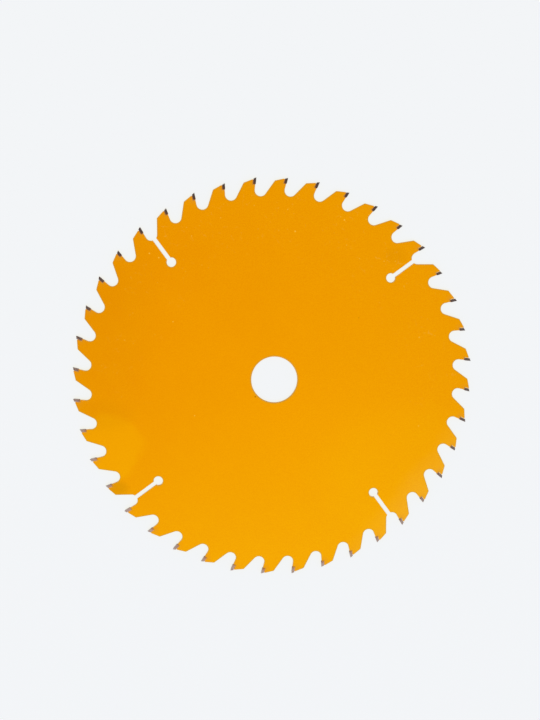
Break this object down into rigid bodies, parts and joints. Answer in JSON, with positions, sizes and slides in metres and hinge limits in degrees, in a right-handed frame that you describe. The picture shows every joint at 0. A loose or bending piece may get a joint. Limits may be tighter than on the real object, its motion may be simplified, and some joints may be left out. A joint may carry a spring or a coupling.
{
  "type": "circular saw blade",
  "caption": "Flat circular saw blade with a central arbor bore, hooked teeth with brazed carbide tips, and slanted expansion slots that end in round holes.",
  "frame": {"origin": "centre of the arbor bore, on the mid-plane of the plate", "axes": "+Z along the arbor axis, out of the face that the picture shows; +X to the picture's right and +Y to its top. Seen from +Z the teeth point clockwise"},
  "size_m": [0.2598, 0.2598, 0.0024],
  "materials": {
    "lacquered_steel": "satin",
    "tungsten_carbide": "satin"
  },
  "bodies": {
    "root": {"blade_body": "lacquered_steel", "carbide_tip_01": "tungsten_carbide", "carbide_tip_02": "tungsten_carbide", "carbide_tip_03": "tungsten_carbide", "carbide_tip_04": "tungsten_carbide", "carbide_tip_05": "tungsten_carbide", "carbide_tip_06": "tungsten_carbide", "carbide_tip_07": "tungsten_carbide", "carbide_tip_08": "tungsten_carbide", "carbide_tip_09": "tungsten_carbide", "carbide_tip_10": "tungsten_carbide", "carbide_tip_11": "tungsten_carbide", "carbide_tip_12": "tungsten_carbide", "carbide_tip_13": "tungsten_carbide", "carbide_tip_14": "tungsten_carbide", "carbide_tip_15": "tungsten_carbide", "carbide_tip_16": "tungsten_carbide", "carbide_tip_17": "tungsten_carbide", "carbide_tip_18": "tungsten_carbide", "carbide_tip_19": "tungsten_carbide", "carbide_tip_20": "tungsten_carbide", "carbide_tip_21": "tungsten_carbide", "carbide_tip_22": "tungsten_carbide", "carbide_tip_23": "tungsten_carbide", "carbide_tip_24": "tungsten_carbide", "carbide_tip_25": "tungsten_carbide", "carbide_tip_26": "tungsten_carbide", "carbide_tip_27": "tungsten_carbide", "carbide_tip_28": "tungsten_carbide", "carbide_tip_29": "tungsten_carbide", "carbide_tip_30": "tungsten_carbide", "carbide_tip_31": "tungsten_carbide", "carbide_tip_32": "tungsten_carbide", "carbide_tip_33": "tungsten_carbide", "carbide_tip_34": "tungsten_carbide", "carbide_tip_35": "tungsten_carbide", "carbide_tip_36": "tungsten_carbide", "carbide_tip_37": "tungsten_carbide", "carbide_tip_38": "tungsten_carbide", "carbide_tip_39": "tungsten_carbide", "carbide_tip_40": "tungsten_carbide"}
  },
  "joints": []
}
